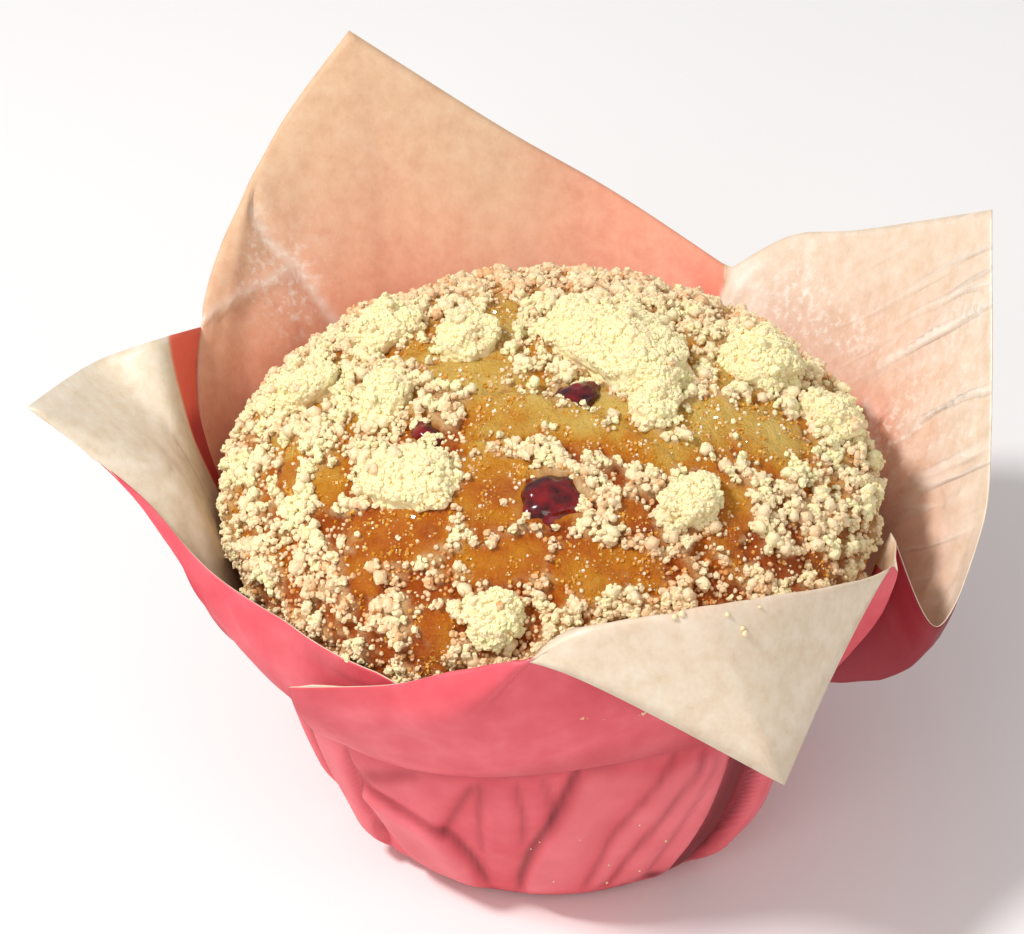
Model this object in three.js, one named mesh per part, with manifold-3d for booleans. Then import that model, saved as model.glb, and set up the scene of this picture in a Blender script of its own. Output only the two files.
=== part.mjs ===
// A crumble-topped muffin with three spots of jam, in a case pressed from one square sheet of
// greaseproof paper, whose four corners stand up and fold out as petals.
// Millimetres, +Z up. The origin is the middle of the underside, and +Y points away from the
// side on which the folded flap hangs down.
import * as THREE from "three";
import { mergeVertices } from "three/addons/utils/BufferGeometryUtils.js";
import Module from "manifold-3d";

const wasm = await Module();
wasm.setup();

// The muffin: a cup that the tin shaped, a lip that rose over the tin's rim, and a dome
const CAKE_FLOOR = 0.9;
const CAKE_BASE_RADIUS = 24.6;
const CAKE_NECK_RADIUS = 34.4;
const CAKE_NECK_HEIGHT = 33;
const CAKE_WIDEST_RADIUS = 41.6;
const CAKE_WIDEST_HEIGHT = 45.5;
const CAKE_TOP = 64.8;
const DOME_FULLNESS = 2.15;
const GAP = 0.3;

// The paper: thickness, the flat floor, the wall that widens up to the tin's rim, and the crease
// where it folds out over the rim, which stands higher in front on the right
const PAPER = 0.4;
const FLOOR_RADIUS = 27;
const WALL_FLARE = 0.29;
const WALL_OVER_CREASE = 1.6;
const CREASE_OVERHANG = 1.5;
const CREASE_HEIGHT = 27;
const CREASE_RISE = 7;
const CREASE_RISE_TURN = 290;
const LAYER_STEP = 1.1;
const TUCK_DEPTH = 1.1;
const TUCKS = 11;
const WALL_BELLY = 0.9;

// Crumble: grains fused to the crust, and lumps as large as berries that lie on it
const GRAINS = 116;
const GRAIN_RADII = [2, 1.1];
const GRAIN_SPACING = 1.6;
const GRAIN_PLACES = 620;
const GRAIN_STRIDE = 233;
const RIMWARD = 0.42;
const CRUST_RELIEF = 0.45;
const SLIVER = 0.03;

const radians = THREE.MathUtils.degToRad;
const smooth = THREE.MathUtils.smoothstep;
const mix = THREE.MathUtils.lerp;

// A point from its turn about the axis in degrees, its reach from the axis and its height
function polar(turn, reach, height) {
  const angle = radians(turn);
  return new THREE.Vector3(reach * Math.cos(angle), reach * Math.sin(angle), height);
}

// A seeded draw between 0 and 1
function seeded(seed) {
  let state = seed;
  return () => {
    state = (state * 1664525 + 1013904223) % 4294967296;
    return state / 4294967296;
  };
}

// One rib of the paper: where it leaves the crease, the bend that it heads for, how sharply it
// folds there, and its end on the sheet's edge. A rib with a tip is a corner of the sheet.
function rib(foot, bend, edge, sharpness = 1, tip = false) {
  return { foot, bend: polar(...bend), edge: polar(...edge), sharpness, tip };
}

// The four petals, anticlockwise from the right. Layer 1 laps outside its neighbour, -1 inside.
const petals = [
  {
    layers: [-1, -1],
    ribs: [
      rib(-29, [-20, 41, 38], [-14, 44, 48]),
      rib(-26, [-22, 50, 27.5], [-22, 52, 40]),
      rib(-14, [-12, 50, 33], [-7, 55, 46]),
      rib(4, [2, 49, 38], [3, 56, 55]),
      rib(22, [20, 48, 42], [24, 62, 73.5], 1, true),
      rib(42, [40, 50, 40], [46, 60, 59]),
      rib(56, [54, 50, 38], [57, 60, 53.5]),
      rib(67, [65, 46, 36], [64, 56.5, 48]),
    ],
  },
  {
    layers: [1, 0],
    ribs: [
      rib(60, [60, 47, 38], [66, 57.5, 47.5]),
      rib(80, [82, 46, 42], [82, 60, 54.8]),
      rib(98, [98, 45, 46], [97, 61, 64.5]),
      rib(120, [118, 45, 48], [114, 69, 78], 1, true),
      rib(145, [146, 48, 50], [125, 64, 70]),
      rib(178, [172, 53.5, 54.5], [136, 59, 62.5]),
    ],
  },
  {
    layers: [1, -1],
    ribs: [
      rib(163, [160, 50.5, 46], [146, 53.6, 52.2]),
      rib(173, [174, 48, 52], [166, 51.8, 61.2], 2),
      rib(184, [181, 46.5, 53], [172, 59.5, 60], 3),
      rib(194, [190, 45.5, 53], [189, 65.6, 66], 3, true),
      rib(208, [203, 48.5, 44], [194, 53, 55], 2),
      rib(226, [220, 46.2, 36.6], [208, 45.6, 47.5]),
      rib(248, [246, 43, 38], [246, 43.6, 46]),
    ],
  },
  {
    layers: [1, 1],
    ribs: [
      rib(224, [228, 45.8, 33.5], [229, 48.4, 43.2]),
      rib(242, [243, 45.6, 39.5], [244, 45.2, 47], 1.6),
      rib(257, [257, 46.3, 44.5], [257, 43.6, 51.3], 2.2),
      rib(272, [273, 45.4, 62], [272, 46.4, 54], 4),
      rib(290, [291, 45.2, 63.9], [301, 54.5, 37], 6, true),
      rib(313, [313, 46, 59.6], [314.5, 48.6, 44], 5),
      rib(329, [329, 47, 53], [331, 46.8, 50.5], 2),
      rib(335, [334, 47, 42], [335, 47.3, 49]),
    ],
  },
];

const COLUMNS_BETWEEN_RIBS = 3;
const COLUMNS_IN_A_LAP = 3;
const WALL_ROWS = 3;
const PETAL_ROWS = 7;

// The muffin's radius at a height, from its floor to the top of its dome
function cakeRadius(height) {
  if (height <= CAKE_NECK_HEIGHT) {
    const share = height / CAKE_NECK_HEIGHT;
    return mix(CAKE_BASE_RADIUS, CAKE_NECK_RADIUS, share);
  }
  if (height <= CAKE_WIDEST_HEIGHT) {
    const share = (height - CAKE_NECK_HEIGHT) / (CAKE_WIDEST_HEIGHT - CAKE_NECK_HEIGHT);
    return mix(CAKE_NECK_RADIUS, CAKE_WIDEST_RADIUS, Math.sin((share * Math.PI) / 2));
  }
  const share = Math.min(1, (height - CAKE_WIDEST_HEIGHT) / (CAKE_TOP - CAKE_WIDEST_HEIGHT));
  return CAKE_WIDEST_RADIUS * (1 - share ** DOME_FULLNESS) ** (1 / DOME_FULLNESS);
}

// A smooth curve through four values, between the second and the third
function through(a, b, c, d, t) {
  const bend = (2 * a - 5 * b + 4 * c - d) * t * t + (3 * b - a - 3 * c + d) * t ** 3;
  return b + 0.5 * ((c - a) * t + bend);
}

function throughPoints(a, b, c, d, t) {
  return new THREE.Vector3(
    through(a.x, b.x, c.x, d.x, t),
    through(a.y, b.y, c.y, d.y, t),
    through(a.z, b.z, c.z, d.z, t),
  );
}

// The columns of one petal, drawn smoothly through its ribs, with a kink only at the tip
function petalColumns({ layers, ribs }) {
  const columns = [];
  const gaps = ribs.length - 1;
  for (let g = 0; g < gaps; g++) {
    const [b, c] = [ribs[g], ribs[g + 1]];
    const a = ribs[g - 1] ?? b;
    const d = ribs[g + 2] ?? c;
    const steps = g === gaps - 1 ? COLUMNS_BETWEEN_RIBS + 1 : COLUMNS_BETWEEN_RIBS;
    for (let i = 0; i < steps; i++) {
      const t = i / COLUMNS_BETWEEN_RIBS;
      const edgeBefore = b.tip ? b.edge : a.edge;
      const edgeAfter = c.tip ? c.edge : d.edge;
      columns.push({
        foot: through(a.foot, b.foot, c.foot, d.foot, t),
        bend: throughPoints(a.bend, b.bend, c.bend, d.bend, t),
        edge: throughPoints(edgeBefore, b.edge, c.edge, edgeAfter, t),
        sharpness: mix(b.sharpness, c.sharpness, t),
        layer: mix(...layers, (g + t) / gaps),
      });
    }
  }
  return columns;
}

// The layer of a lap between two petals, which runs straight from one's end to the other's start
function lapColumns(before, after) {
  const columns = [];
  for (let i = 1; i <= COLUMNS_IN_A_LAP; i++) {
    const t = i / (COLUMNS_IN_A_LAP + 1);
    columns.push({
      foot: mix(before.foot, after.foot, t),
      bend: before.bend.clone().lerp(after.bend, t),
      edge: before.edge.clone().lerp(after.edge, t),
      sharpness: mix(before.sharpness, after.sharpness, t),
      layer: mix(before.layer, after.layer, t),
    });
  }
  return columns;
}

function sheetColumns() {
  const sides = petals.map(petalColumns);
  const columns = [];
  sides.forEach((side, k) => {
    const next = sides[(k + 1) % sides.length];
    const last = side[side.length - 1];
    const wrapped = k === sides.length - 1 ? { ...next[0], foot: next[0].foot + 360 } : next[0];
    columns.push(...side, ...lapColumns(last, wrapped));
  });
  // On the floor the columns stand evenly, and the laps open out of them up the wall
  columns.forEach((column, i) => {
    column.start = mix(columns[0].foot, columns[0].foot + 360, i / columns.length);
  });
  return columns;
}

// Long soft tucks run up the wall at a slant, and fade out at the floor and at the crease
function tuck(turn, rise) {
  const phase = (turn / 360) * TUCKS + 0.35 * rise + 0.2 * Math.sin(radians(turn * 3));
  const saw = phase - Math.floor(phase);
  const ridge = saw < 0.75 ? saw / 0.75 : (1 - saw) / 0.25;
  return TUCK_DEPTH * ridge * Math.sin(Math.PI * Math.min(1, rise * 1.1)) ** 0.7;
}

// The crease's height at a turn about the axis
function creaseHeight(turn) {
  const nearness = Math.max(0, Math.cos(radians(turn - CREASE_RISE_TURN)));
  return CREASE_HEIGHT + CREASE_RISE * nearness ** 4;
}

// The middle of the paper along one column, from beside the floor's centre to the sheet's edge
function columnPoints(column) {
  const points = [];
  const creaseZ = creaseHeight(column.foot);
  const wallTop = creaseZ + WALL_OVER_CREASE;
  const wallRadius = FLOOR_RADIUS + WALL_FLARE * wallTop;
  const middle = FLOOR_RADIUS / 2;
  points.push(polar(column.start, middle, PAPER / 2));
  points.push(polar(column.start, FLOOR_RADIUS - 1.2, PAPER / 2));
  for (let row = 0; row <= WALL_ROWS; row++) {
    const rise = row / WALL_ROWS;
    const turn = mix(column.start, column.foot, smooth(rise, 0.2, 1));
    const layer = column.layer * LAYER_STEP * smooth(rise, 0, 0.5);
    const belly = WALL_BELLY * Math.sin(Math.PI * rise);
    const reach = mix(FLOOR_RADIUS, wallRadius, rise) + layer + belly + tuck(turn, rise);
    points.push(polar(turn, reach, mix(PAPER / 2 + 0.5, wallTop, rise)));
  }
  const creaseRadius = wallRadius + CREASE_OVERHANG + column.layer * LAYER_STEP;
  const crease = polar(column.foot, creaseRadius, creaseZ);
  for (let row = 0; row <= PETAL_ROWS; row++) {
    const t = row / PETAL_ROWS;
    const weight = 2 * t * (1 - t) * column.sharpness;
    const total = (1 - t) ** 2 + weight + t * t;
    const point = crease.clone().multiplyScalar((1 - t) ** 2 / total);
    point.addScaledVector(column.bend, weight / total);
    point.addScaledVector(column.edge, (t * t) / total);
    points.push(clearOfCake(point));
  }
  return points;
}

// A point of the paper, pushed out where it would come too near to the muffin
function clearOfCake(point) {
  const reach = Math.hypot(point.x, point.y);
  const least = cakeRadius(point.z) + 1.1;
  if (reach < least) {
    point.x *= least / reach;
    point.y *= least / reach;
  }
  return point;
}

// A thin sheet with both faces and a rim, from the middle surface of each column
function paperGeometry() {
  const columns = sheetColumns().map(columnPoints);
  const rows = columns[0].length;
  const count = columns.length;
  const at = (i, j) => columns[(i + count) % count][j];
  const outer = [new THREE.Vector3(0, 0, 0)];
  const inner = [new THREE.Vector3(0, 0, PAPER)];
  for (let i = 0; i < count; i++) {
    for (let j = 0; j < rows; j++) {
      const along = at(i, Math.min(j + 1, rows - 1)).clone().sub(at(i, Math.max(j - 1, 0)));
      const across = at(i + 1, j).clone().sub(at(i - 1, j));
      const normal = j < 2 ? new THREE.Vector3(0, 0, -1) : across.cross(along).normalize();
      outer.push(at(i, j).clone().addScaledVector(normal, PAPER / 2));
      inner.push(at(i, j).clone().addScaledVector(normal, -PAPER / 2));
    }
  }
  const vertices = [...outer, ...inner];
  const other = outer.length;
  const index = (i, j) => 1 + ((i + count) % count) * rows + j;
  const faces = [];
  for (let i = 0; i < count; i++) {
    faces.push([0, index(i + 1, 0), index(i, 0)]);
    for (let j = 0; j < rows - 1; j++) {
      faces.push([index(i, j), index(i + 1, j), index(i + 1, j + 1)]);
      faces.push([index(i, j), index(i + 1, j + 1), index(i, j + 1)]);
    }
  }
  const turned = faces.map(([a, b, c]) => [a + other, c + other, b + other]);
  for (let i = 0; i < count; i++) {
    const [a, b] = [index(i, rows - 1), index(i + 1, rows - 1)];
    turned.push([a, b, b + other], [a, b + other, a + other]);
  }
  return solidGeometry(vertices, [...faces, ...turned]);
}

function solidGeometry(vertices, faces) {
  const geometry = new THREE.BufferGeometry();
  geometry.setAttribute("position", new THREE.Float32BufferAttribute(vertices.flatMap((v) => [...v]), 3));
  geometry.setIndex(faces.flat());
  geometry.computeVertexNormals();
  return geometry;
}

// The crumble lumps: their middle in plan, their half sizes in plan, and their height
const lumps = [
  { x: 8.4, y: 5.4, wide: 11.4, deep: 7, tall: 4.6, turn: 4 },
  { x: 12.8, y: -6, wide: 4.4, deep: 3, tall: 2.8, turn: 15 },
  { x: 26.6, y: 7.6, wide: 5.2, deep: 5.4, tall: 4.2, turn: 30 },
  { x: -17.4, y: -18.6, wide: 6, deep: 4.6, tall: 3, turn: 20 },
  { x: -21.2, y: 13.6, wide: 4.8, deep: 3.9, tall: 3.6, turn: -20 },
  { x: -10.6, y: 8, wide: 4.8, deep: 3.8, tall: 3.2, turn: 15 },
  { x: -31, y: 3.8, wide: 3, deep: 4.4, tall: 3, turn: 10 },
  { x: -20.6, y: -3.4, wide: 4.3, deep: 3.4, tall: 2.8, turn: -10 },
  { x: 35, y: 1.6, wide: 3, deep: 4, tall: 3.2, turn: -15 },
  { x: 17.2, y: -21.8, wide: 4.2, deep: 3.2, tall: 2.6, turn: 20 },
  { x: -6.6, y: -37, wide: 3.4, deep: 3.4, tall: 2.8, turn: 0 },
];

// The spots of jam: their middle in plan and their half sizes
const jams = [
  { name: "jam_front", x: -0.3, y: -22.9, wide: 4.2, deep: 4, tall: 1.9 },
  { name: "jam_back", x: 3.4, y: -4.4, wide: 3.6, deep: 2.5, tall: 1.8 },
  { name: "jam_left", x: -15.7, y: -10.6, wide: 2.4, deep: 1.6, tall: 1.4 },
];

// Bare glaze shows between the grains in these patches: middle in plan and half sizes
const bare = [
  { x: 1, y: -8, wide: 17, deep: 5 },
  { x: -10, y: -28, wide: 12, deep: 4 },
  { x: 8, y: -32, wide: 9, deep: 5 },
  { x: 24, y: -10, wide: 7, deep: 10 },
  { x: -6, y: 3, wide: 4, deep: 7 },
  { x: -17, y: 3, wide: 3, deep: 5 },
];

// How far a plan point lies from a patch's middle, where 1 is on its outline
function shareOf(patch, x, y) {
  return Math.hypot((x - patch.x) / patch.wide, (y - patch.y) / patch.deep);
}

// The point of the dome over a plan point, and the way out of the dome there
function domePoint(x, y) {
  const share = Math.min(0.995, Math.hypot(x, y) / CAKE_WIDEST_RADIUS);
  const rise = (CAKE_TOP - CAKE_WIDEST_HEIGHT) * (1 - share ** DOME_FULLNESS) ** (1 / DOME_FULLNESS);
  return new THREE.Vector3(x, y, CAKE_WIDEST_HEIGHT + rise);
}

function domeNormal(x, y) {
  const step = 0.2;
  const east = domePoint(x + step, y).sub(domePoint(x - step, y));
  const north = domePoint(x, y + step).sub(domePoint(x, y - step));
  return east.cross(north).normalize();
}

// Soft random looking bumps between -1 and 1
function bumps(x, y, z, size, seed) {
  const [a, b, c] = [x / size + seed, y / size - 2 * seed, z / size + 3 * seed];
  const coarse = Math.sin(a * 2.1 + Math.sin(b * 1.7)) * Math.cos(b * 1.9 + c);
  const fine = Math.sin(a * 4.3 - c * 2.2 + 1) * Math.cos(b * 4.1 + c * 3.1);
  return 0.65 * coarse + 0.35 * fine;
}

function toSolid(geometry) {
  const bare = geometry.clone();
  bare.deleteAttribute("normal");
  bare.deleteAttribute("uv");
  const merged = mergeVertices(bare, 1e-3);
  const vertProperties = merged.attributes.position.array;
  const triVerts = new Uint32Array(merged.index.array);
  return new wasm.Manifold(new wasm.Mesh({ numProp: 3, vertProperties, triVerts }));
}

// The largest body of a solid, with the slivers that its cuts left merged away
function fromSolid(solid) {
  const bodies = solid.decompose().sort((a, b) => b.volume() - a.volume());
  const mesh = bodies[0].simplify(SLIVER).getMesh();
  const geometry = new THREE.BufferGeometry();
  geometry.setAttribute("position", new THREE.BufferAttribute(mesh.vertProperties, 3));
  geometry.setIndex(new THREE.BufferAttribute(mesh.triVerts, 1));
  geometry.computeVertexNormals();
  return geometry;
}

// Moves every vertex of a geometry by a rule
function reshape(geometry, rule) {
  const place = geometry.attributes.position;
  const point = new THREE.Vector3();
  for (let i = 0; i < place.count; i++) {
    rule(point.fromBufferAttribute(place, i));
    place.setXYZ(i, point.x, point.y, point.z);
  }
  return geometry;
}

// The bare muffin: a turned body whose crust is cut down in low crags, never built up
function bareCake() {
  const profile = [new THREE.Vector2(0, CAKE_FLOOR)];
  const wallSteps = 5;
  const lipSteps = 4;
  const domeSteps = 9;
  for (let i = 0; i <= wallSteps; i++) {
    const height = mix(CAKE_FLOOR, CAKE_NECK_HEIGHT, i / wallSteps);
    profile.push(new THREE.Vector2(cakeRadius(height), height));
  }
  for (let i = 1; i <= lipSteps; i++) {
    const height = mix(CAKE_NECK_HEIGHT, CAKE_WIDEST_HEIGHT, i / lipSteps);
    profile.push(new THREE.Vector2(cakeRadius(height), height));
  }
  for (let i = 1; i < domeSteps; i++) {
    const rise = Math.sin((i / domeSteps) * (Math.PI / 2));
    const height = mix(CAKE_WIDEST_HEIGHT, CAKE_TOP, rise);
    profile.push(new THREE.Vector2(cakeRadius(height), height));
  }
  profile.push(new THREE.Vector2(0, CAKE_TOP));
  const turned = new THREE.LatheGeometry(profile, 38).rotateX(Math.PI / 2);
  return reshape(turned, (point) => {
    const reach = Math.hypot(point.x, point.y);
    if (point.z < 2 || reach < 0.01) return;
    const cut = CRUST_RELIEF * (bumps(point.x, point.y, point.z, 5, 1) - 1) * 0.5;
    point.multiplyScalar(1 + cut / point.length());
  });
}

// A flattened ball on the dome, standing square to the crust
function jamSolid(jam, extra) {
  const ball = new THREE.SphereGeometry(1, 12, 6);
  ball.scale(jam.wide + extra, jam.deep + extra, jam.tall + extra);
  const out = domeNormal(jam.x, jam.y);
  const upright = new THREE.Quaternion().setFromUnitVectors(new THREE.Vector3(0, 0, 1), out);
  const place = domePoint(jam.x, jam.y).addScaledVector(out, -0.45 * jam.tall);
  return toSolid(ball.applyQuaternion(upright).translate(place.x, place.y, place.z));
}

// One grain, an uneven ball of twenty faces, sunk a little into the crust
function grainSolid(x, y, radius, draw) {
  const grain = new THREE.IcosahedronGeometry(radius, 0);
  const stretch = new THREE.Vector3(0.85 + 0.4 * draw(), 0.85 + 0.4 * draw(), 0.8 + 0.3 * draw());
  const turn = new THREE.Quaternion().setFromEuler(new THREE.Euler(6 * draw(), 6 * draw(), 6 * draw()));
  const place = domePoint(x, y).addScaledVector(domeNormal(x, y), 0.25 * radius - CRUST_RELIEF * 0.5);
  return toSolid(grain.applyMatrix4(new THREE.Matrix4().compose(place, turn, stretch)));
}

// Whether a grain would touch a patch, or stand on it
function touches(patch, grain) {
  const margin = grain.radius + 0.9;
  const grown = { ...patch, wide: patch.wide + margin, deep: patch.deep + margin };
  return shareOf(grown, grain.x, grain.y) < 1;
}

function crowds(other, grain) {
  const distance = Math.hypot(other.x - grain.x, other.y - grain.y);
  return distance < (other.radius + grain.radius) * 0.5 * GRAIN_SPACING;
}

// Grain places: a sunflower spiral spreads them evenly over the dome, and a stride through it
// takes the largest first. Any that would touch a lump or a spot of jam is left out.
function grainPlaces(draw) {
  const places = [];
  const golden = Math.PI * (3 - Math.sqrt(5));
  for (let i = 0; i < GRAIN_PLACES && places.length < GRAINS; i++) {
    const seat = (i * GRAIN_STRIDE) % GRAIN_PLACES;
    const reach = (CAKE_WIDEST_RADIUS - 0.8) * ((seat + 0.5) / GRAIN_PLACES) ** RIMWARD;
    const angle = seat * golden + 0.06 * draw();
    const radius = mix(...GRAIN_RADII, places.length / GRAINS) * (0.9 + 0.2 * draw());
    const grain = { x: reach * Math.cos(angle), y: reach * Math.sin(angle), radius };
    const onBare = bare.some((patch) => shareOf(patch, grain.x, grain.y) < 1);
    const taken = [...lumps, ...jams].some((patch) => touches(patch, grain));
    if (!taken && !(onBare && draw() < 0.9) && !places.some((other) => crowds(other, grain))) {
      places.push(grain);
    }
  }
  return places;
}

function muffinGeometry() {
  let cake = toSolid(bareCake());
  const draw = seeded(7);
  for (const { x, y, radius } of grainPlaces(draw)) {
    cake = cake.add(grainSolid(x, y, radius, draw));
  }
  for (const jam of jams) {
    cake = cake.subtract(jamSolid(jam, GAP + 0.05));
  }
  return fromSolid(cake);
}

// The smooth dome and the lip below it, grown by a margin all round
function grownDome(margin) {
  const profile = [new THREE.Vector2(0, CAKE_NECK_HEIGHT)];
  const steps = 16;
  for (let i = 0; i < steps; i++) {
    const rise = Math.sin((i / steps) * (Math.PI / 2));
    const height = mix(CAKE_NECK_HEIGHT + 8, CAKE_TOP, rise);
    profile.push(new THREE.Vector2(cakeRadius(height) + margin, height + margin * rise));
  }
  profile.push(new THREE.Vector2(0, CAKE_TOP + margin));
  return toSolid(new THREE.LatheGeometry(profile, 64).rotateX(Math.PI / 2));
}

// A lump: an uneven ball whose lower side is cut to lie along the dome, a gap above it
function lumpGeometry(lump, detail, seed, dome) {
  const ball = new THREE.IcosahedronGeometry(1, detail);
  const out = domeNormal(lump.x, lump.y);
  const upright = new THREE.Quaternion().setFromUnitVectors(new THREE.Vector3(0, 0, 1), out);
  const turn = new THREE.Quaternion().setFromAxisAngle(new THREE.Vector3(0, 0, 1), radians(lump.turn));
  const place = domePoint(lump.x, lump.y);
  const shaped = reshape(ball, (point) => {
    point.multiplyScalar(1 + 0.16 * bumps(point.x, point.y, point.z, 0.55, seed));
    point.multiply(new THREE.Vector3(lump.wide, lump.deep, lump.tall));
    point.applyQuaternion(turn).applyQuaternion(upright).add(place);
  });
  return fromSolid(toSolid(shaped).subtract(dome));
}

const part = new THREE.Group();

function add(name, geometry, color, roughness) {
  const material = new THREE.MeshStandardMaterial({ color, roughness, metalness: 0, flatShading: true });
  const mesh = new THREE.Mesh(geometry, material);
  mesh.name = name;
  part.add(mesh);
}

add("paper_case", paperGeometry(), 0xdf5c66, 0.6);
add("muffin", muffinGeometry(), 0xe0a04a, 0.5);
for (const jam of jams) {
  add(jam.name, fromSolid(jamSolid(jam, 0)), 0x6a0d18, 0.15);
}
const dome = grownDome(GAP);
lumps.forEach((lump, i) => {
  add(`crumble_lump_${i + 1}`, lumpGeometry(lump, i === 0 ? 3 : 1, i + 2, dome), 0xf6eeb4, 0.9);
});

export default part;
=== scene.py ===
"""A crumble-topped muffin with spots of jam, in a case pressed from a square sheet of paper."""
import bisect
import math
import random

import bmesh
import bpy
import numpy as np
from mathutils import Matrix, Vector, noise
from mathutils.bvhtree import BVHTree


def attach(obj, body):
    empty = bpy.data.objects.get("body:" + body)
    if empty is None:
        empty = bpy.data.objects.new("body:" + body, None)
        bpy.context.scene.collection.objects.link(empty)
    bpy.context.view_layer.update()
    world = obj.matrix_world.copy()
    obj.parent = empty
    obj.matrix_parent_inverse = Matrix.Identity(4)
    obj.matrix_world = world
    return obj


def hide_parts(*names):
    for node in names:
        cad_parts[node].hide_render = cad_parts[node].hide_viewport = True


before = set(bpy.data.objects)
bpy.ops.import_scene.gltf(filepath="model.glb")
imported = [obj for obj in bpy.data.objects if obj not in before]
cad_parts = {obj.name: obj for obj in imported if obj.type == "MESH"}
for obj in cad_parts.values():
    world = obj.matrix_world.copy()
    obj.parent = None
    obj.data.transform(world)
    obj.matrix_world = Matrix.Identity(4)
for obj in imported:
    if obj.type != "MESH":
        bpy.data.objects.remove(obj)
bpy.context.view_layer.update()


# Camera: from in front and 36 degrees up, half a metre away, as the muffin was photographed. The
# lens gives the photo's scale at the muffin, in pixels a millimetre.
MM = 0.001
FRAME_WIDTH = 1024
PIXELS_PER_MM = 7.8
CAMERA_DISTANCE = 520 * MM
CAMERA_RISE = math.radians(36)
middle = Vector((0, 0, 45 * MM))
towards_camera = Vector((0, -math.cos(CAMERA_RISE), math.sin(CAMERA_RISE)))
camera_data = bpy.data.cameras.new("camera")
camera_data.lens = camera_data.sensor_width * PIXELS_PER_MM * CAMERA_DISTANCE / MM / FRAME_WIDTH
camera = bpy.data.objects.new("camera", camera_data)
bpy.context.scene.collection.objects.link(camera)
camera.location = middle + towards_camera * CAMERA_DISTANCE
AIM_FROM_MIDDLE = Vector((-5.1, 2.5, 3.4)) * MM
camera.rotation_euler = (middle + AIM_FROM_MIDDLE - camera.location).to_track_quat("-Z", "Y").to_euler()
bpy.context.scene.camera = camera


# Studio light: a key from high on the left, a weak fill from the right and a wide soft light from
# the front, in a bright white room.
def soft_light(name, place, size, power):
    data = bpy.data.lights.new(name, "AREA")
    data.shape = "DISK"
    data.size = size
    data.energy = power
    light = bpy.data.objects.new(name, data)
    bpy.context.scene.collection.objects.link(light)
    light.location = place
    light.rotation_euler = (middle - light.location).to_track_quat("-Z", "Y").to_euler()


soft_light("key_light", Vector((-0.38, -0.2, 0.66)), 0.12, 4.4)
soft_light("fill_light", Vector((0.5, -0.5, 0.4)), 0.6, 0.7)
soft_light("front_light", Vector((-0.3, -0.7, 0.5)), 0.4, 1.1)
room = bpy.data.worlds.new("white_room")
room.use_nodes = True
room.node_tree.nodes["Background"].inputs["Color"].default_value = (1, 1, 1, 1)
room.node_tree.nodes["Background"].inputs["Strength"].default_value = 0.52
bpy.context.scene.world = room
bpy.context.scene.view_settings.view_transform = "Standard"


# Studio floor: a plain sheet wide enough to fill the picture. Its paint is pale and matt, so it
# has no shine of its own and takes a soft shadow.
def srgb(code, alpha=1.0):
    """Turns an sRGB hex colour into the linear values that Blender works with."""
    shares = [int(code[i:i + 2], 16) / 255 for i in (1, 3, 5)]
    linear = [s / 12.92 if s <= 0.04045 else ((s + 0.055) / 1.055) ** 2.4 for s in shares]
    return (*linear, alpha)


def new_material(name, settings):
    """A material and its shader, whose sockets take the settings."""
    material = bpy.data.materials.new(name)
    material.use_nodes = True
    shader = material.node_tree.nodes["Principled BSDF"]
    for socket, value in settings.items():
        shader.inputs[socket].default_value = value
    return material, shader


bpy.ops.object.select_all(action="DESELECT")
bpy.ops.mesh.primitive_grid_add(x_subdivisions=8, y_subdivisions=8, size=4)
floor = bpy.context.object
floor.name = "studio_floor"
floor_paint, _ = new_material("matt white studio floor",
                              {"Base Color": srgb("#F4F2F0"), "Roughness": 0.9})
floor.data.materials.append(floor_paint)


# Paper case: one square sheet of greaseproof paper, red outside and brown kraft inside, pushed
# into a tin cup. Its wall is tucked, its middle sides are lapped, and its corners are petals.
PAPER = 0.15
FLOOR_RADIUS = 27
WALL_FLARE = 0.29
WALL_OVER_CREASE = 1.6
CREASE_OVERHANG = 1.5
CREASE_HEIGHT = 27
CREASE_RISE = 7
CREASE_RISE_TURN = 290
LAYER_STEP = 1.1
WALL_BELLY = 0.9
CORNER_ROUNDING = 1.4
TUCK_DEPTH = 1.1
TUCKS = 11
TUCK_SLANT = 0.35
TUCK_CREST = 0.75
COLUMNS_BETWEEN_RIBS = 15
COLUMNS_IN_A_LAP = 9
FLOOR_ROWS = 2
WALL_ROWS = 52
PETAL_ROWS = 45
FLOOR_EDGE = 2.4
WALL_START = 0.5
LEAST_GAP = 1.1
# The paper keeps clear of the muffin's form: a cup shaped by the tin, a lip that rose over its
# rim, and a dome. These are the solid model's lengths, in millimetres.
CAKE_BASE_RADIUS = 24.6
CAKE_NECK_RADIUS = 34.4
CAKE_NECK_HEIGHT = 33
CAKE_WIDEST_RADIUS = 41.6
CAKE_WIDEST_HEIGHT = 45.5
CAKE_TOP = 64.8
DOME_FULLNESS = 2.15


def mix(a, b, t):
    return a + (b - a) * t


def smooth(value, low, high):
    """0 below low, 1 above high, and a soft rise between them, for a number or an array."""
    share = np.clip((value - low) / (high - low), 0, 1)
    return share * share * (3 - 2 * share)


def cake_radius(height):
    """The muffin's radius at a height, both in millimetres."""
    if height <= CAKE_NECK_HEIGHT:
        return mix(CAKE_BASE_RADIUS, CAKE_NECK_RADIUS, height / CAKE_NECK_HEIGHT)
    if height <= CAKE_WIDEST_HEIGHT:
        share = (height - CAKE_NECK_HEIGHT) / (CAKE_WIDEST_HEIGHT - CAKE_NECK_HEIGHT)
        return mix(CAKE_NECK_RADIUS, CAKE_WIDEST_RADIUS, math.sin(share * math.pi / 2))
    share = min(1, (height - CAKE_WIDEST_HEIGHT) / (CAKE_TOP - CAKE_WIDEST_HEIGHT))
    return CAKE_WIDEST_RADIUS * (1 - share ** DOME_FULLNESS) ** (1 / DOME_FULLNESS)


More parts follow.
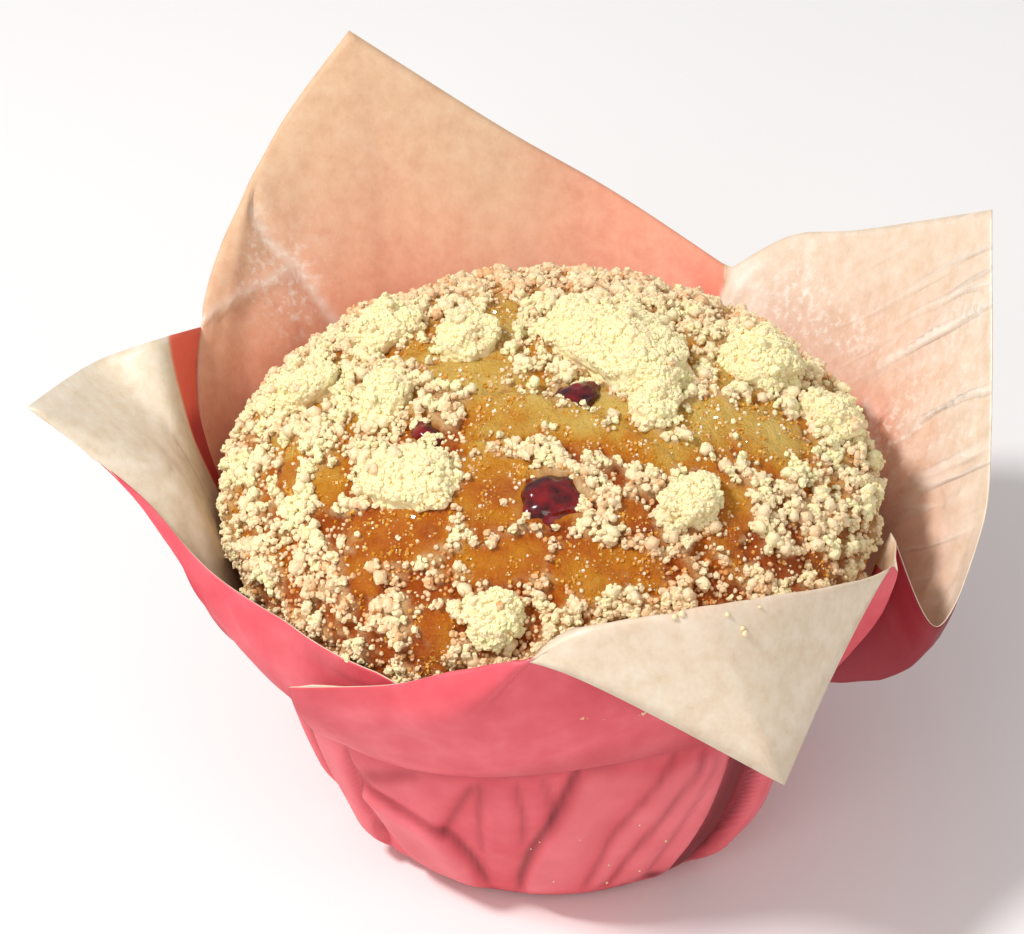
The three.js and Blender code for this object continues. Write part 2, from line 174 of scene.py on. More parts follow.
def polar(turn, reach, height):
    angle = math.radians(turn)
    return np.array((reach * math.cos(angle), reach * math.sin(angle), height))


def rib(foot, bend, edge, sharpness=1, tip=False):
    """A line of the paper: its foot at the crease, the bend it heads for, and the sheet's edge."""
    return {"foot": foot, "bend": polar(*bend), "edge": polar(*edge), "sharpness": sharpness, "tip": tip}


# Each petal has the layers it starts and ends on, how far the red glows through it as painted light,
# how crumpled it is, and its ribs. The first is the right petal, then come the back, left and front ones.
PETALS = [
    ((-1, -1), 0.65, 1.0, [
        rib(-29, (-20, 41, 38), (-14, 44, 48)),
        rib(-26, (-22, 50, 27.5), (-22, 52, 40)),
        rib(-14, (-12, 50, 33), (-7, 55, 46)),
        rib(4, (2, 49, 38), (3, 56, 55)),
        rib(22, (20, 48, 42), (24, 62, 73.5), 1, True),
        rib(42, (40, 50, 40), (46, 60, 59)),
        rib(56, (54, 50, 38), (57, 60, 53.5)),
        rib(67, (65, 46, 36), (64, 56.5, 48)),
    ]),
    ((1, 0), 1.0, 0.35, [
        rib(60, (60, 47, 38), (66, 57.5, 47.5)),
        rib(80, (82, 46, 42), (82, 60, 54.8)),
        rib(98, (98, 45, 46), (97, 61, 64.5)),
        rib(120, (118, 45, 48), (114, 69, 78), 1, True),
        rib(145, (146, 48, 50), (125, 64, 70)),
        rib(178, (172, 53.5, 54.5), (136, 59, 62.5)),
    ]),
    ((1, -1), 0.1, 0.3, [
        rib(163, (160, 50.5, 46), (146, 53.6, 52.2)),
        rib(173, (174, 48, 52), (166, 51.8, 61.2), 2),
        rib(184, (181, 46.5, 53), (172, 59.5, 60), 3),
        rib(194, (190, 45.5, 53), (189, 65.6, 66), 3, True),
        rib(208, (203, 48.5, 44), (194, 53, 55), 2),
        rib(226, (220, 46.2, 36.6), (208, 45.6, 47.5)),
        rib(248, (246, 43, 38), (246, 43.6, 46)),
    ]),
    ((1, 1), 0.2, 0.15, [
        rib(224, (228, 45.8, 33.5), (229, 48.4, 43.2)),
        rib(242, (243, 45.6, 39.5), (244, 45.2, 47), 1.6),
        rib(257, (257, 46.3, 44.5), (257, 43.6, 51.3), 2.2),
        rib(272, (273, 45.4, 60.5), (272, 46.4, 53.6), 4),
        rib(290, (291, 45.2, 63.9), (301, 54.5, 37), 6, True),
        rib(313, (313, 46, 59.6), (314.5, 48.6, 44), 5),
        rib(329, (329, 47, 53), (331, 46.8, 50.5), 2),
        rib(335, (334, 47, 42), (335, 47.3, 49)),
    ]),
]


def through(a, b, c, d, t):
    """A smooth curve through four values, between the second and the third."""
    curve = (2 * a - 5 * b + 4 * c - d) * t * t + (3 * b - a - 3 * c + d) * t ** 3
    return b + 0.5 * ((c - a) * t + curve)


def petal_columns(layers, glow, crumpled, ribs):
    """The sheet's columns across a petal, on smooth curves through its ribs."""
    columns = []
    gaps = len(ribs) - 1
    for gap in range(gaps):
        b, c = ribs[gap], ribs[gap + 1]
        a = ribs[gap - 1] if gap else b
        d = ribs[gap + 2] if gap + 2 < len(ribs) else c
        before = b["edge"] if b["tip"] else a["edge"]
        after = c["edge"] if c["tip"] else d["edge"]
        steps = COLUMNS_BETWEEN_RIBS + (gap == gaps - 1)
        for i in range(steps):
            t = i / COLUMNS_BETWEEN_RIBS
            columns.append({
                "foot": through(a["foot"], b["foot"], c["foot"], d["foot"], t),
                "bend": through(a["bend"], b["bend"], c["bend"], d["bend"], t),
                "edge": through(before, b["edge"], c["edge"], after, t),
                "sharpness": mix(b["sharpness"], c["sharpness"], t),
                "layer": mix(*layers, (gap + t) / gaps),
                "glow": glow,
                "crumpled": crumpled,
            })
    return columns


def lap_columns(last, first, part):
    """The hidden columns that fold back from the end of one petal to the start of the next."""
    columns = []
    for i in range(1, COLUMNS_IN_A_LAP + 1):
        t = i / (COLUMNS_IN_A_LAP + 1)
        columns.append({key: mix(last[key], first[key], t) for key in last} | {"lap": t, "part": part})
    return columns


def sheet_columns():
    sides = [petal_columns(*petal) for petal in PETALS]
    columns = []
    for k, side in enumerate(sides):
        for column in side:
            column["petal"] = column["part"] = k
    for k, side in enumerate(sides):
        first = dict(sides[(k + 1) % len(sides)][0])
        if k == len(sides) - 1:
            first["foot"] += 360
        columns += side + lap_columns(side[-1], first, k + 0.5)
    for i, column in enumerate(columns):
        column["start"] = columns[0]["foot"] + 360 * i / len(columns)
    return columns


def tuck(turn, rise):
    """Long soft tucks at a slant up the wall, in millimetres, each steep on one side."""
    phase = turn / 360 * TUCKS + TUCK_SLANT * rise + 0.2 * math.sin(math.radians(turn * 3))
    saw = phase - math.floor(phase)
    ridge = saw / TUCK_CREST if saw < TUCK_CREST else (1 - saw) / (1 - TUCK_CREST)
    return TUCK_DEPTH * ridge * math.sin(math.pi * min(1, rise * 1.1)) ** 0.7


def clear_of_cake(point):
    """Pushes a point of a petal out where it would touch the muffin."""
    reach = math.hypot(point[0], point[1])
    least = cake_radius(point[2]) + LEAST_GAP
    if reach < least:
        point[:2] *= least / reach
    return point


def crease_height(turn):
    nearness = max(0, math.cos(math.radians(turn - CREASE_RISE_TURN)))
    return CREASE_HEIGHT + CREASE_RISE * nearness ** 4


def column_points(column):
    """A column's points: out over the floor, up the wall, and over the crease up the petal."""
    points = []
    crease_z = crease_height(column["foot"])
    wall_top = crease_z + WALL_OVER_CREASE
    wall_radius = FLOOR_RADIUS + WALL_FLARE * wall_top
    for row in range(FLOOR_ROWS):
        share = (row + 1) / FLOOR_ROWS
        points.append(polar(column["start"], (FLOOR_RADIUS - FLOOR_EDGE) * share, PAPER / 2))
    for row in range(WALL_ROWS + 1):
        rise = row / WALL_ROWS
        turn = mix(column["start"], column["foot"], smooth(rise, 0.2, 1))
        layer = column["layer"] * LAYER_STEP * smooth(rise, 0, 0.5)
        belly = WALL_BELLY * math.sin(math.pi * rise)
        corner = CORNER_ROUNDING * (1 - min(1, rise * 8)) ** 2
        reach = mix(FLOOR_RADIUS, wall_radius, rise) + layer + belly - corner + tuck(turn, rise)
        points.append(polar(turn, reach, mix(PAPER / 2 + WALL_START, wall_top, rise)))
    crease_radius = wall_radius + CREASE_OVERHANG + column["layer"] * LAYER_STEP
    crease = polar(column["foot"], crease_radius, crease_z)
    for row in range(PETAL_ROWS + 1):
        t = row / PETAL_ROWS
        weight = 2 * t * (1 - t) * column["sharpness"]
        total = (1 - t) ** 2 + weight + t * t
        point = (crease * (1 - t) ** 2 + column["bend"] * weight + column["edge"] * t * t) / total
        points.append(clear_of_cake(point))
    return points


sheet = sheet_columns()
middle_surface = np.array([column_points(column) for column in sheet])
COLUMNS, ROWS = middle_surface.shape[:2]
parts = np.array([column["part"] for column in sheet])
to_next = np.roll(middle_surface, -1, 0) - middle_surface
to_next *= (parts == np.roll(parts, -1))[:, None, None]
across = to_next + np.roll(to_next, 1, 0)
outwards = np.cross(across, np.gradient(middle_surface, axis=1))
outwards /= np.linalg.norm(outwards, axis=2)[..., None]
outwards[["lap" in column for column in sheet]] *= -1
turns = np.degrees(np.arctan2(middle_surface[..., 1], middle_surface[..., 0])) % 360
heights = middle_surface[..., 2]
wall_share = (np.arange(ROWS) - FLOOR_ROWS) / WALL_ROWS
up_petal = np.clip((np.arange(ROWS) - FLOOR_ROWS - WALL_ROWS - 1) / PETAL_ROWS, 0, 1)

# Folds pressed into the wall: a line of turns in degrees and heights in millimetres, how far the
# paper stands proud beside it, on which side, and over what width that dies away
WALL_FOLDS = [
    ([(262.3, 0), (264.2, 6.9), (267.3, 14.7), (272.3, 22.6), (277.5, 33)], 1.3, 1, 9),
    ([(245, 15), (250, 22.2), (254.4, 28)], 0.8, -1, 6),
    ([(256, 12), (256.5, 20), (258, 29)], 0.6, 1, 2.2),
    ([(263, 16), (263.5, 22), (262, 30)], 0.6, -1, 2.2),
    ([(269, 20), (269, 25), (267, 31)], 0.5, -1, 1.8),
    ([(279, 4), (283.8, 17.2), (290.2, 24.5), (297, 33)], 0.7, 1, 2.6),
    ([(284.5, 3), (290.2, 13.8), (296.1, 22.9), (303, 32)], 0.8, 1, 2.6),
    ([(292, 4), (295, 14), (299, 24), (302, 31)], 0.5, -1, 3),
    ([(299, 1), (303, 12.9), (305, 19.4), (306.5, 31)], 1.6, -1, 4),
    ([(310.5, 0), (313.2, 7.5), (315, 14.1), (317, 31)], 2.1, 1, 5),
    ([(217.5, 2), (214, 8.7), (209, 14), (206, 25)], 1.2, 1, 7),
    ([(224, 3), (221, 12), (220, 24)], 0.7, -1, 4),
]
# The rounded tab on the left of the front, whose edge curves down to the floor, and a short one
# over it
WALL_FOLDS.append(([(225, 17.5), (228.7, 18.5), (234, 18.2), (239, 17.7), (244, 16.9), (248.1, 14.9),
                    (250.9, 10.9), (252.6, 5), (253.4, -3)], 1.2, 1, 8))
WALL_FOLDS.append(([(225, 19), (229, 20.2), (236.9, 23.6), (243.4, 26.1), (246, 26.5)], 0.7, 1, 3))
# Folds of the same kind all round the hidden back, by a seeded rule
draws = random.Random(7)
BACK_STARTS, BACK_ENDS, WALL_HEIGHT = 326, 566, 29
turn_round = BACK_STARTS
while turn_round < BACK_ENDS:
    slant = draws.uniform(-9, 9)
    foot = turn_round if turn_round < 390 else turn_round - 360
    line = [(foot, 0), (foot + slant * 0.5, 14), (foot + slant, WALL_HEIGHT)]
    WALL_FOLDS.append((line, draws.uniform(0.6, 1.5), draws.choice((-1, 1)), draws.uniform(2.5, 7)))
    turn_round += draws.uniform(7, 17)


def beside_line(line, xs, ys, x_mm, y_mm):
    """Distance from a line of points in the sheet, the side of it, and a fade towards its ends."""
    apart = np.full(np.broadcast(xs, ys).shape, 1e3)
    to_right, along_line = np.ones(apart.shape), np.zeros(apart.shape)
    length = 0
    for (ax, ay), (bx, by) in zip(line, line[1:]):
        ex, ey = (bx - ax) * x_mm, (by - ay) * y_mm
        px, py = (xs - ax) * x_mm, (ys - ay) * y_mm
        step = math.hypot(ex, ey)
        along = np.clip((px * ex + py * ey) / step ** 2, 0, 1)
        distance = np.hypot(px - along * ex, py - along * ey)
        nearer = distance < apart
        apart = np.where(nearer, distance, apart)
        to_right = np.where(nearer, np.where(ey * px - ex * py > 0, 1, -1), to_right)
        along_line = np.where(nearer, length + along * step, along_line)
        length += step
    return apart, to_right, smooth(along_line, 0, 2) * (1 - smooth(along_line, length - 2.5, length))


def beside_fold(aside, width):
    """A fold's section: it rises at the line, dies away beyond it, and dips just before it."""
    dip = -0.5 * np.exp(-((aside + 0.9) / 0.8) ** 2)
    return smooth(aside, -0.55, 0.55) * np.exp(-np.maximum(aside, 0) / width) + dip


relief = np.zeros((COLUMNS, ROWS))
# Painted shade: a dark line in the dip beside each fold darkens the red outside. More shaded hollows and
# one smudge join it below.
painted_shade_and_smudge = np.zeros((COLUMNS, ROWS))
MM_PER_DEGREE = 0.58
SEAM_TURN = 40
from_seam = (turns - SEAM_TURN) % 360 + SEAM_TURN
for line, lift, side, width in WALL_FOLDS:
    apart, to_right, ends = beside_line(line, from_seam, heights, MM_PER_DEGREE, 1)
    aside = apart * to_right * side
    relief += lift * ends * beside_fold(aside, width)
    painted_shade_and_smudge += 0.6 * lift * ends * np.exp(-((aside + 0.75) / 0.5) ** 2)
wall_fade = smooth(wall_share, 0, 0.22) * (1 - smooth(wall_share, 0.93, 1))
relief *= wall_fade[None, :]
for axis in (0, 1, 0, 1):
    relief = 0.5 * relief + 0.25 * (np.roll(relief, 1, axis) + np.roll(relief, -1, axis))
painted_shade_and_smudge = wall_fade[None, :] * (0.4 * painted_shade_and_smudge + 0.3 * (np.roll(painted_shade_and_smudge, 1, 1) + np.roll(painted_shade_and_smudge, -1, 1)))
# Painted shade in the deep fold on the right and under the crease, and a smudge near the floor
deep_fold_shade = np.exp(-((turns - 306.5 - 0.18 * heights) * MM_PER_DEGREE / 2.6) ** 4) * smooth(heights, 1, 4)
under_crease = 0.75 * smooth(wall_share, 0.86, 0.97)[None, :] * smooth(turns, 228, 245)
smudge = np.exp(-((turns - 296.5) * MM_PER_DEGREE / 1.6) ** 2 - ((heights - 5.5) / 1.4) ** 2)
on_wall = (wall_share[None, :] > 0) * (wall_share[None, :] <= 1)
painted_shade_and_smudge = np.maximum(painted_shade_and_smudge, (deep_fold_shade + under_crease + smudge) * on_wall)


# Creases and cockles in the petals: more in the right petal, few in the folded front one
def ridged(column, share, across_mm, along_mm, seed):
    """Low sharp ridges, longer than wide, from 0.5 on a ridge down to -0.5."""
    place = Vector((column["foot"] * 0.7 / across_mm, share * 40 / along_mm, seed))
    return 0.5 - min(1, 3 * abs(noise.noise(place)))


for c, column in enumerate(sheet):
    for r in range(FLOOR_ROWS + WALL_ROWS + 1, ROWS):
        share = up_petal[r]
        fade = smooth(share, 0.05, 0.3) * (1 - 0.85 * smooth(share, 0.8, 1))
        long_folds = 0.26 * ridged(column, share, 6, 22, 2.5)
        cockles = 0.16 * ridged(column, share + 0.006 * column["foot"], 2.6, 6, 7.5) * column["crumpled"]
        relief[c, r] += fade * (long_folds * (0.4 + column["crumpled"]) + cockles)

# Single creases: the petal's number, a line of feet in degrees and shares of the way up, how far
# it stands in, and its width
PETAL_CREASES = [
    (0, [(30, 0.6), (23, 0.71), (15, 0.93)], 0.6, 0.6),
    (0, [(27, 0.58), (19, 0.71), (13, 0.93)], -0.35, 0.8),
    (0, [(18, 0.53), (16, 0.62), (12, 0.76), (9, 0.91)], 0.55, 0.6),
    (0, [(11, 0.62), (9, 0.73), (6, 0.89)], 0.45, 0.6),
    (0, [(2, 0.69), (0, 0.8), (-1, 0.91)], 0.4, 0.6),
    (0, [(52, 0.97), (51, 0.87), (50, 0.76)], 0.35, 0.8),
    (0, [(47, 0.71), (41, 0.8), (34, 0.87)], 0.3, 0.6),
    (0, [(29, 0.49), (23, 0.42), (18, 0.4)], 0.7, 0.6),
    (1, [(159, 0.9), (139, 0.63), (131, 0.42)], -0.7, 1.3),
    (1, [(179, 0.72), (159, 0.67), (141, 0.63)], 0.5, 0.5),
    (2, [(199, 0.94), (192, 0.65)], 0.3, 0.9),
    (3, [(273, 0.56), (269, 0.66)], 0.4, 0.5),
    (2, [(214, 0.9), (212, 0.35)], -0.5, 0.6),
    (2, [(226, 0.9), (225, 0.3)], -0.4, 0.5),
]
# Soft hollows and swellings: petal, foot and share of the middle, two half sizes, height inwards
PETAL_SWELLS = [
    (3, 256, 0.85, 8, 12, -1.5), (3, 269, 0.5, 8, 8, 0.9), (3, 246, 0.35, 7, 6, 0.5),
    (1, 146, 0.45, 9, 7, 1.2), (1, 165, 0.75, 8, 8, 0.7), (0, 46, 0.8, 9, 8, 0.8),
    (0, 20, 0.35, 7, 7, 1.0),
]
# Where grease has made the kraft shiny, and painted highlight shows white on its streaks: as above, with
# a strength
GREASY = [
    (0, 53, 0.76, 8, 7, 1.0), (0, 40, 0.66, 8, 4, 0.9), (0, 19, 0.51, 5, 5, 0.9),
    (0, 14, 0.8, 11, 8, 0.5), (1, 154, 0.73, 6, 5, 0.8), (1, 141, 0.58, 6, 5, 0.8),
]
MM_PER_FOOT = 0.85
MM_UP_PETAL = 42
feet = np.array([column["foot"] for column in sheet])
petal_numbers = np.array([column["petal"] for column in sheet])
creased = np.zeros((COLUMNS, ROWS))
for number, line, lift, width in PETAL_CREASES:
    nearest, _, _ = beside_line(line, feet[:, None], up_petal[None, :], MM_PER_FOOT, MM_UP_PETAL)
    on_petal = (petal_numbers[:, None] == number) & (up_petal[None, :] > 0)
    relief -= lift * on_petal * np.exp(-(nearest / width) ** 2)
    creased += abs(lift) * on_petal * np.exp(-(nearest / 0.6) ** 2)


def patch_on_petal(number, foot, share, wide, high):
    """1 in the middle of an oval patch of a petal, and 0 beyond it."""
    beside = (feet[:, None] - foot) * MM_PER_FOOT / wide
    above = (up_petal[None, :] - share) * MM_UP_PETAL / high
    on_petal = (petal_numbers[:, None] == number) * (up_petal[None, :] > 0)
    return on_petal * np.exp(-beside ** 2 - above ** 2)


for number, foot, share, wide, high, lift in PETAL_SWELLS:
    relief -= lift * patch_on_petal(number, foot, share, wide, high)
greasy = sum(strength * patch_on_petal(*patch) for *patch, strength in GREASY)
# Each lap is drawn in between the layers it joins, so that its kraft side stays hidden
lap_place = np.array([column.get("lap", 0) for column in sheet])
drawn_in = 0.45 * smooth(lap_place, 0.3, 0.8) * np.minimum(1, 5 * (1 - lap_place))
relief -= drawn_in[:, None] * smooth(wall_share, 0.3, 0.6)[None, :]
case_points = (middle_surface + outwards * relief[..., None]) * MM

bpy.ops.object.select_all(action="DESELECT")
bpy.ops.mesh.primitive_grid_add(x_subdivisions=COLUMNS, y_subdivisions=ROWS - 1, size=1)
case = bpy.context.object
case.name = "paper_case_sheet"
grid_points = np.concatenate((case_points, case_points[:1])).transpose(1, 0, 2)
case.data.vertices.foreach_set("co", grid_points.ravel())

# Grease and light bring the red of the outside through the kraft, most of all near the muffin: the
# grease is real, and the light let through is painted in as a red glow
glow = np.array([column["glow"] for column in sheet])
fading = np.where(petal_numbers == 1, 0.85 * smooth(feet, 75, 110) + 0.2, 0.85)
red_through = glow[:, None] * (1 - np.minimum(fading, 0.85)[:, None] * smooth(up_petal, 0.15, 1)[None, :])
# The same painted glow makes the fold in the right petal salmon beside the muffin, and the back petal's
# right corner
red_through += 0.6 * patch_on_petal(0, 27, 0.38, 8, 5) + 0.5 * patch_on_petal(1, 62, 0.85, 5, 5)
# The right end of the left petal stands behind another layer, which lets only red light through:
# painted light, bright above and deepened lower down by painted shade
behind = ((petal_numbers > 1) & (petal_numbers <= 2) & (feet < 172.2))[:, None] * np.ones(ROWS)[None, :]
red_through = np.where(behind > 0, 2 + 0.9 * (1 - smooth(up_petal, 0.55, 0.7))[None, :], red_through)
worn = smooth(relief, 0.25, 1.1) * (up_petal[None, :] == 0)
# Under the right petal the red outside is darkened with painted shade, as in the dips of the wall's folds
soaked = smooth(feet, -40, -22) * (1 - smooth(feet, 30, 50)) * (petal_numbers < 0.5)
soaked = (0.95 * soaked)[:, None] * smooth(up_petal, 0.0, 0.08)[None, :]
# The soaked mask is painted shade
painted_shade_and_smudge = np.maximum(np.clip(painted_shade_and_smudge, 0, 1), soaked)
paleness = np.interp(petal_numbers, [0, 1, 2, 3], [1.0, 0.1, 1.0, 0.85])[:, None] * np.ones(ROWS)[None, :]
crumpled = np.clip(1.4 * patch_on_petal(0, 12, 0.78, 17, 11), 0, 1)
in_lap = (lap_place > 0)[:, None] * ((up_petal[None, :] < 0.8) | (parts[:, None] == 1.5))
shades = {"in_lap": in_lap, "red_through": red_through, "crumpled": crumpled, "worn": worn,
          "pocket": painted_shade_and_smudge, "pale": paleness, "greasy": np.clip(greasy, 0, 1),
          "creased": np.clip(creased, 0, 1)}
for name, values in shades.items():
    case.data.attributes.new(name, "FLOAT", "POINT")
    grid_values = np.concatenate((values, values[:1])).T
    case.data.attributes[name].data.foreach_set("value", grid_values.ravel())
bpy.ops.object.mode_set(mode="EDIT")
bpy.ops.mesh.select_all(action="SELECT")
bpy.ops.mesh.remove_doubles(threshold=0.002 * MM)
bpy.ops.object.mode_set(mode="OBJECT")

sheet_mesh = bmesh.new()
sheet_mesh.from_mesh(case.data)
floor_hole = [edge for edge in sheet_mesh.edges if edge.is_boundary and edge.verts[0].co.z < 1 * MM]
bmesh.ops.contextual_create(sheet_mesh, geom=floor_hole)
bmesh.ops.recalc_face_normals(sheet_mesh, faces=sheet_mesh.faces)
sheet_mesh.faces.ensure_lookup_table()
floor_face = min(sheet_mesh.faces, key=lambda face: face.calc_center_median().length)
if floor_face.normal.z > 0:
    bmesh.ops.reverse_faces(sheet_mesh, faces=sheet_mesh.faces)
sheet_mesh.to_mesh(case.data)
sheet_mesh.free()


def add_node(material, kind, settings=None, **links):
    """Adds a node. Settings fill its fields, sockets or ramp stops, and links join its sockets."""
    node = material.node_tree.nodes.new("ShaderNode" + kind)
    for name, value in (settings or {}).items():
        if name == "stops":
            steps = node.color_ramp.elements
            while len(steps) < len(value):
                steps.new(0.5)
            for step, (place, code) in zip(steps, value):
                step.position = place
                step.color = srgb(code)
        elif isinstance(name, int) or name in node.inputs:
            node.inputs[name].default_value = value
        else:
            setattr(node, name, value)
    for name, source in links.items():
        socket = node.inputs[int(name[1:])] if name[0] == "_" else node.inputs[name.replace("_", " ")]
        join(material, source, socket)
    return node


def join(material, source, socket):
    """Links a node's main output to a socket: a colour mix has its colour third."""
    main = {"ShaderNodeTexCoord": "Object", "ShaderNodeAttribute": "Fac", "ShaderNodeMix": 2}
    material.node_tree.links.new(source.outputs[main.get(source.bl_idname, 0)], socket)


def paper_bump(material, shader, strength):
    """Paper fibre, 0.4 mm apart, over soft cockles some 6 mm wide."""
    place = add_node(material, "TexCoord")
    fibre = add_node(material, "TexNoise", {"Scale": 2600.0, "Detail": 3.0}, Vector=place)
    cockle = add_node(material, "TexNoise", {"Scale": 160.0, "Detail": 4.0}, Vector=place)
    both = add_node(material, "Math", {"operation": "MULTIPLY_ADD", 1: 0.12}, _0=fibre, _2=cockle)
    bump = add_node(material, "Bump", {"Strength": strength, "Distance": 0.5 * MM}, Height=both)
    join(material, bump, shader.inputs["Normal"])
    return place, cockle, bump


# The outside is dyed red: satin where it was pressed, and paler along its creases. Painted shade
# darkens it in the hollows and under the right petal, and a smudge darkens it too
red_paper, shader = new_material("red dyed greaseproof paper",
                                 {"Roughness": 0.5, "Specular IOR Level": 0.4})
_, cockle, _ = paper_bump(red_paper, shader, 0.35)
dye = add_node(red_paper, "ValToRGB",
               {"stops": [(0.25, "#CF4450"), (0.55, "#DC5762"), (0.8, "#E66C75")]}, Fac=cockle)
on_folds = add_node(red_paper, "Attribute", {"attribute_name": "worn"})
worn_share = add_node(red_paper, "Math", {"operation": "MULTIPLY", 1: 0.3}, _0=on_folds)
worn_dye = add_node(red_paper, "Mix", {"data_type": "RGBA", 7: srgb("#EE8A90")}, _0=worn_share, _6=dye)
# Painted shade, and the smudge, take the red towards a near black crimson
shade_and_smudge_share = add_node(red_paper, "Attribute", {"attribute_name": "pocket"})
red_with_painted_shade = add_node(red_paper, "Mix", {"data_type": "RGBA", 7: srgb("#6E0A15")}, _0=shade_and_smudge_share,
                    _6=worn_dye)
join(red_paper, red_with_painted_shade, shader.inputs["Base Color"])

# The inside is unbleached kraft with darker flecks, greasy and shiny near the muffin. Red light let
# through it is painted in: salmon, then bright red where another layer lies behind, and deep red
# where that layer is in painted shade.
kraft_paper, shader = new_material("brown kraft greaseproof paper", {
    "Roughness": 0.42, "Specular IOR Level": 0.5, "Coat Roughness": 0.25})
place, _, bump = paper_bump(kraft_paper, shader, 0.3)
mottle = add_node(kraft_paper, "TexNoise", {"Scale": 420.0, "Detail": 6.0, "Roughness": 0.7},
                  Vector=place)
kraft = add_node(kraft_paper, "ValToRGB",
                 {"stops": [(0.3, "#CFA984"), (0.5, "#D8B58D"), (0.7, "#DEC09A")]}, Fac=mottle)
pale_kraft = add_node(kraft_paper, "ValToRGB",
                      {"stops": [(0.3, "#DAC5A7"), (0.5, "#E3D3BB"), (0.7, "#EADECB")]}, Fac=mottle)
pale_share = add_node(kraft_paper, "Attribute", {"attribute_name": "pale"})
kraft = add_node(kraft_paper, "Mix", {"data_type": "RGBA"}, _0=pale_share, _6=kraft, _7=pale_kraft)
# Painted red glow: salmon, then bright red, then deep red in painted shade
warm = add_node(kraft_paper, "ValToRGB", {"stops": [(0.3, "#E88A70"), (0.6, "#F09C80")]}, Fac=mottle)
through_red = add_node(kraft_paper, "Attribute", {"attribute_name": "red_through"})
tinted = add_node(kraft_paper, "Mix", {"data_type": "RGBA"}, _0=through_red, _6=kraft, _7=warm)
for beyond, code in ((1.0, "#F0624E"), (2.0, "#B3202F")):
    share = add_node(kraft_paper, "Math", {"operation": "SUBTRACT", "use_clamp": True, 1: beyond},
                     _0=through_red)
    tinted = add_node(kraft_paper, "Mix", {"data_type": "RGBA", 7: srgb(code)}, _0=share, _6=tinted)
streaks = add_node(kraft_paper, "TexNoise", {"Scale": 900.0, "Detail": 3.0, "Roughness": 0.6},
                   Vector=place)
grease = add_node(kraft_paper, "Attribute", {"attribute_name": "greasy"})
crease = add_node(kraft_paper, "Attribute", {"attribute_name": "creased"})
glint = add_node(kraft_paper, "MapRange", {"From Min": 0.5, "From Max": 0.66}, Value=streaks)
# Long thin creases in the right petal, which run up from the muffin to its edge: a noise drawn
# out to nine times its width, tipped 44 degrees up and turned 39 degrees back
CREASE_WAY = (0, math.radians(-44), math.radians(-39))
along_creases = add_node(kraft_paper, "Mapping",
                         {"vector_type": "TEXTURE", "Rotation": CREASE_WAY, "Scale": (9, 1, 1)},
                         Vector=place)
wrinkle = add_node(kraft_paper, "TexNoise", {"Scale": 230.0, "Detail": 1.5}, Vector=along_creases)
off_middle = add_node(kraft_paper, "Math", {"operation": "SUBTRACT", 1: 0.5}, _0=wrinkle)
off_line = add_node(kraft_paper, "Math", {"operation": "ABSOLUTE"}, _0=off_middle)
on_line = add_node(kraft_paper, "Math",
                   {"operation": "MULTIPLY_ADD", "use_clamp": True, 1: -16.0, 2: 1.0}, _0=off_line)
crumpled_here = add_node(kraft_paper, "Attribute", {"attribute_name": "crumpled"})
wrinkles = add_node(kraft_paper, "Math", {"operation": "MULTIPLY"}, _0=on_line, _1=crumpled_here)
raised = add_node(kraft_paper, "Bump", {"Strength": 0.8, "Distance": 0.5 * MM}, Height=wrinkles,
                  Normal=bump)
join(kraft_paper, raised, shader.inputs["Normal"])
# Painted highlight: white mixed in on the greasy streaks, the single creases and the long creases in the
# right petal
glint = add_node(kraft_paper, "Math", {"operation": "MULTIPLY_ADD"}, _0=glint, _1=grease, _2=crease)
glint = add_node(kraft_paper, "Math", {"operation": "MULTIPLY_ADD", 1: 0.7}, _0=wrinkles, _2=glint)
glint = add_node(kraft_paper, "Math", {"operation": "MULTIPLY", "use_clamp": True, 1: 0.7}, _0=glint)
painted_highlight_white = add_node(kraft_paper, "Mix", {"data_type": "RGBA", 7: srgb("#FBEFE2")}, _0=glint, _6=tinted)
join(kraft_paper, painted_highlight_white, shader.inputs["Base Color"])
join(kraft_paper, grease, shader.inputs["Coat Weight"])
case.data.materials.append(red_paper)
case.data.materials.append(kraft_paper)
case.data.shade_smooth()
thickness = case.modifiers.new("paper", "SOLIDIFY")
thickness.thickness = PAPER * MM
thickness.offset = -1
thickness.material_offset = 1
thickness.material_offset_rim = 1
bpy.context.view_layer.objects.active = case
bpy.ops.object.modifier_apply(modifier="paper")
# The laps lie hidden between two layers and are dyed through, so that no kraft shows at the folds
dyed_through = [item.value > 0.5 for item in case.data.attributes["in_lap"].data]
for face in case.data.polygons:
    if any(dyed_through[index] for index in face.vertices):
        face.material_index = 0
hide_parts("paper_case")
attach(case, "root")


# Muffin: sponge that rose over the tin, its crust split and glazed. The sphere's rows are laid
# along the profile, and the crust then gets its crags, its split and its pores.
CAKE_FLOOR = 0.9
CAKE_TURNS = 300
CAKE_RINGS = 190
DOME_SHARE = 0.66
LIP_SHARE = 0.78
WALL_SHARE = 0.94
MIDDLE_HEIGHT = 30
SPLIT_FROM_HEIGHT = 55
# The split in the crust: points in plan, in millimetres, from the left to the right
SPLIT = [(-15, -5.2), (-10.5, -4.4), (-4.7, -4.6), (1.5, -6.3), (7.9, -10.3), (12, -13)]
